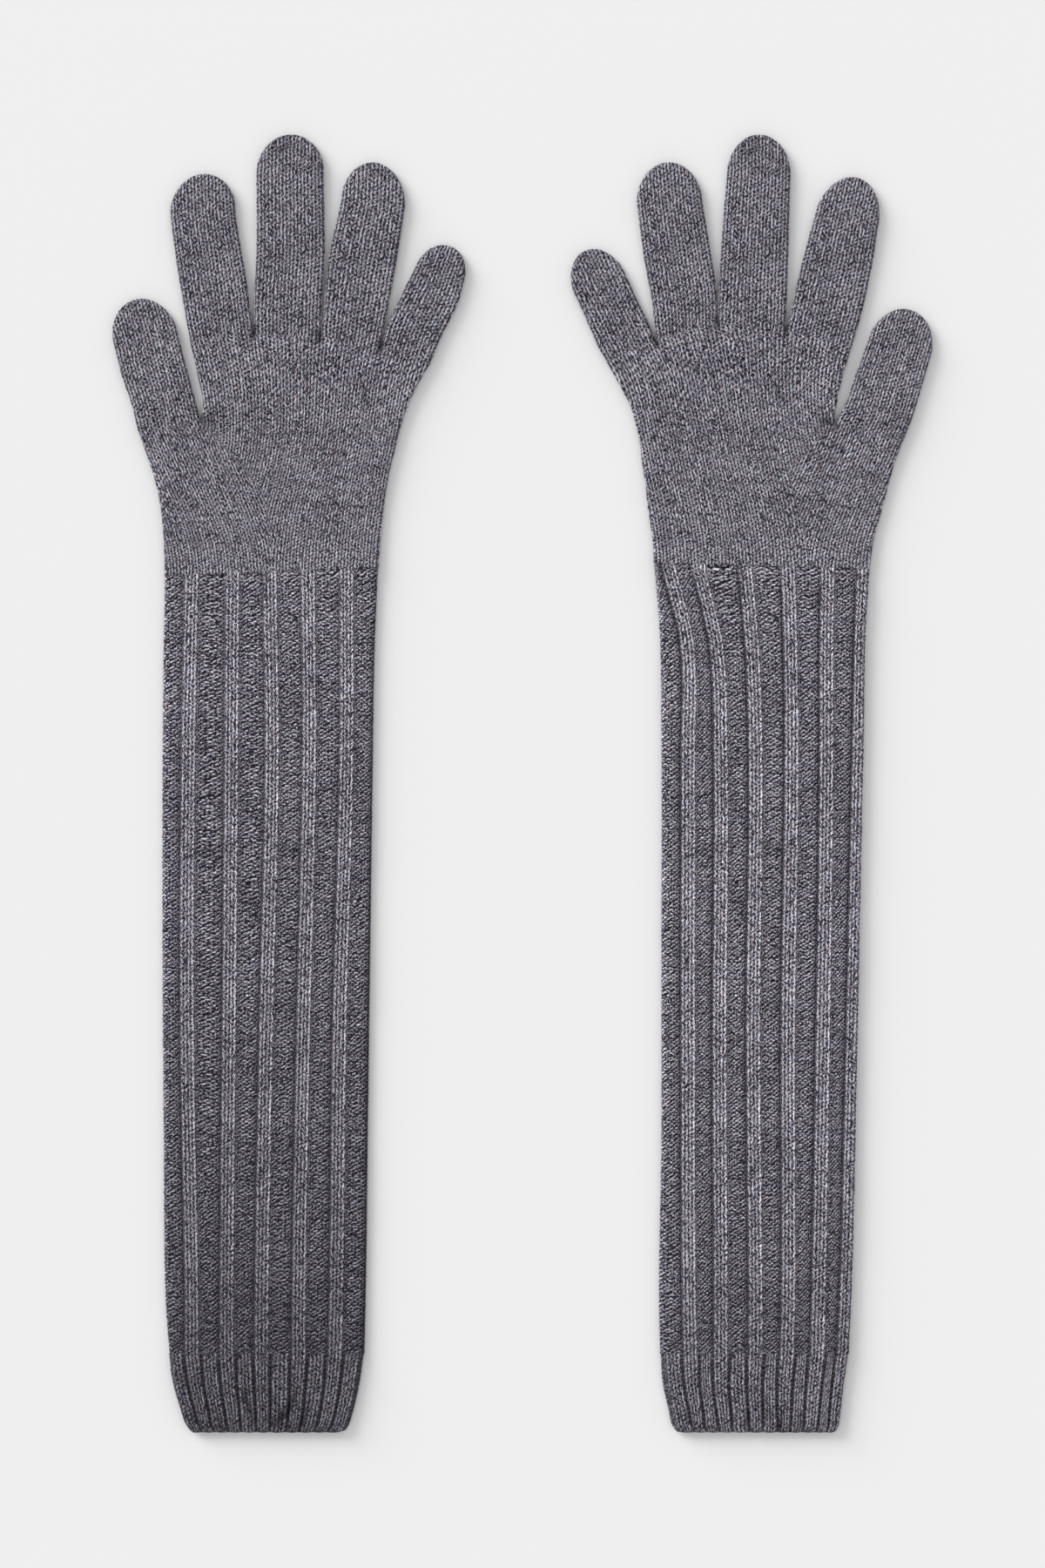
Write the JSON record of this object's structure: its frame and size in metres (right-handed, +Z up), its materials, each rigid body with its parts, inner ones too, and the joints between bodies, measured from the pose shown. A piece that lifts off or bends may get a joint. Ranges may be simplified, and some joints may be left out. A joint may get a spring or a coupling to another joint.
{
  "type": "pair of long knitted gloves",
  "caption": "Pair of elbow-length knitted gloves laid flat side by side, with plain hands, wide-ribbed arms and narrow-ribbed cuffs, in mottled grey wool.",
  "frame": {"origin": "middle of the pair's bounding box, on the surface that the gloves lie on", "axes": "+X from the glove on the left to the glove on the right, +Y from the hems to the fingertips, +Z up from the surface"},
  "size_m": [0.3526, 0.558, 0.0044],
  "materials": {
    "wool_hand": "soft matt plain knit, mottled grey",
    "wool_arm": "soft matt wide rib knit, mottled grey",
    "wool_cuff": "soft matt narrow rib knit, dark mottled grey"
  },
  "bodies": {
    "root": {"left_cuff": "wool_cuff", "left_arm": "wool_arm", "left_lower_palm": "wool_hand", "left_upper_palm": "wool_hand", "left_thumb": "wool_hand", "left_index": "wool_hand", "left_middle": "wool_hand", "left_ring": "wool_hand", "left_little": "wool_hand", "right_cuff": "wool_cuff", "right_arm": "wool_arm", "right_lower_palm": "wool_hand", "right_upper_palm": "wool_hand", "right_thumb": "wool_hand", "right_index": "wool_hand", "right_middle": "wool_hand", "right_ring": "wool_hand", "right_little": "wool_hand"}
  },
  "joints": []
}
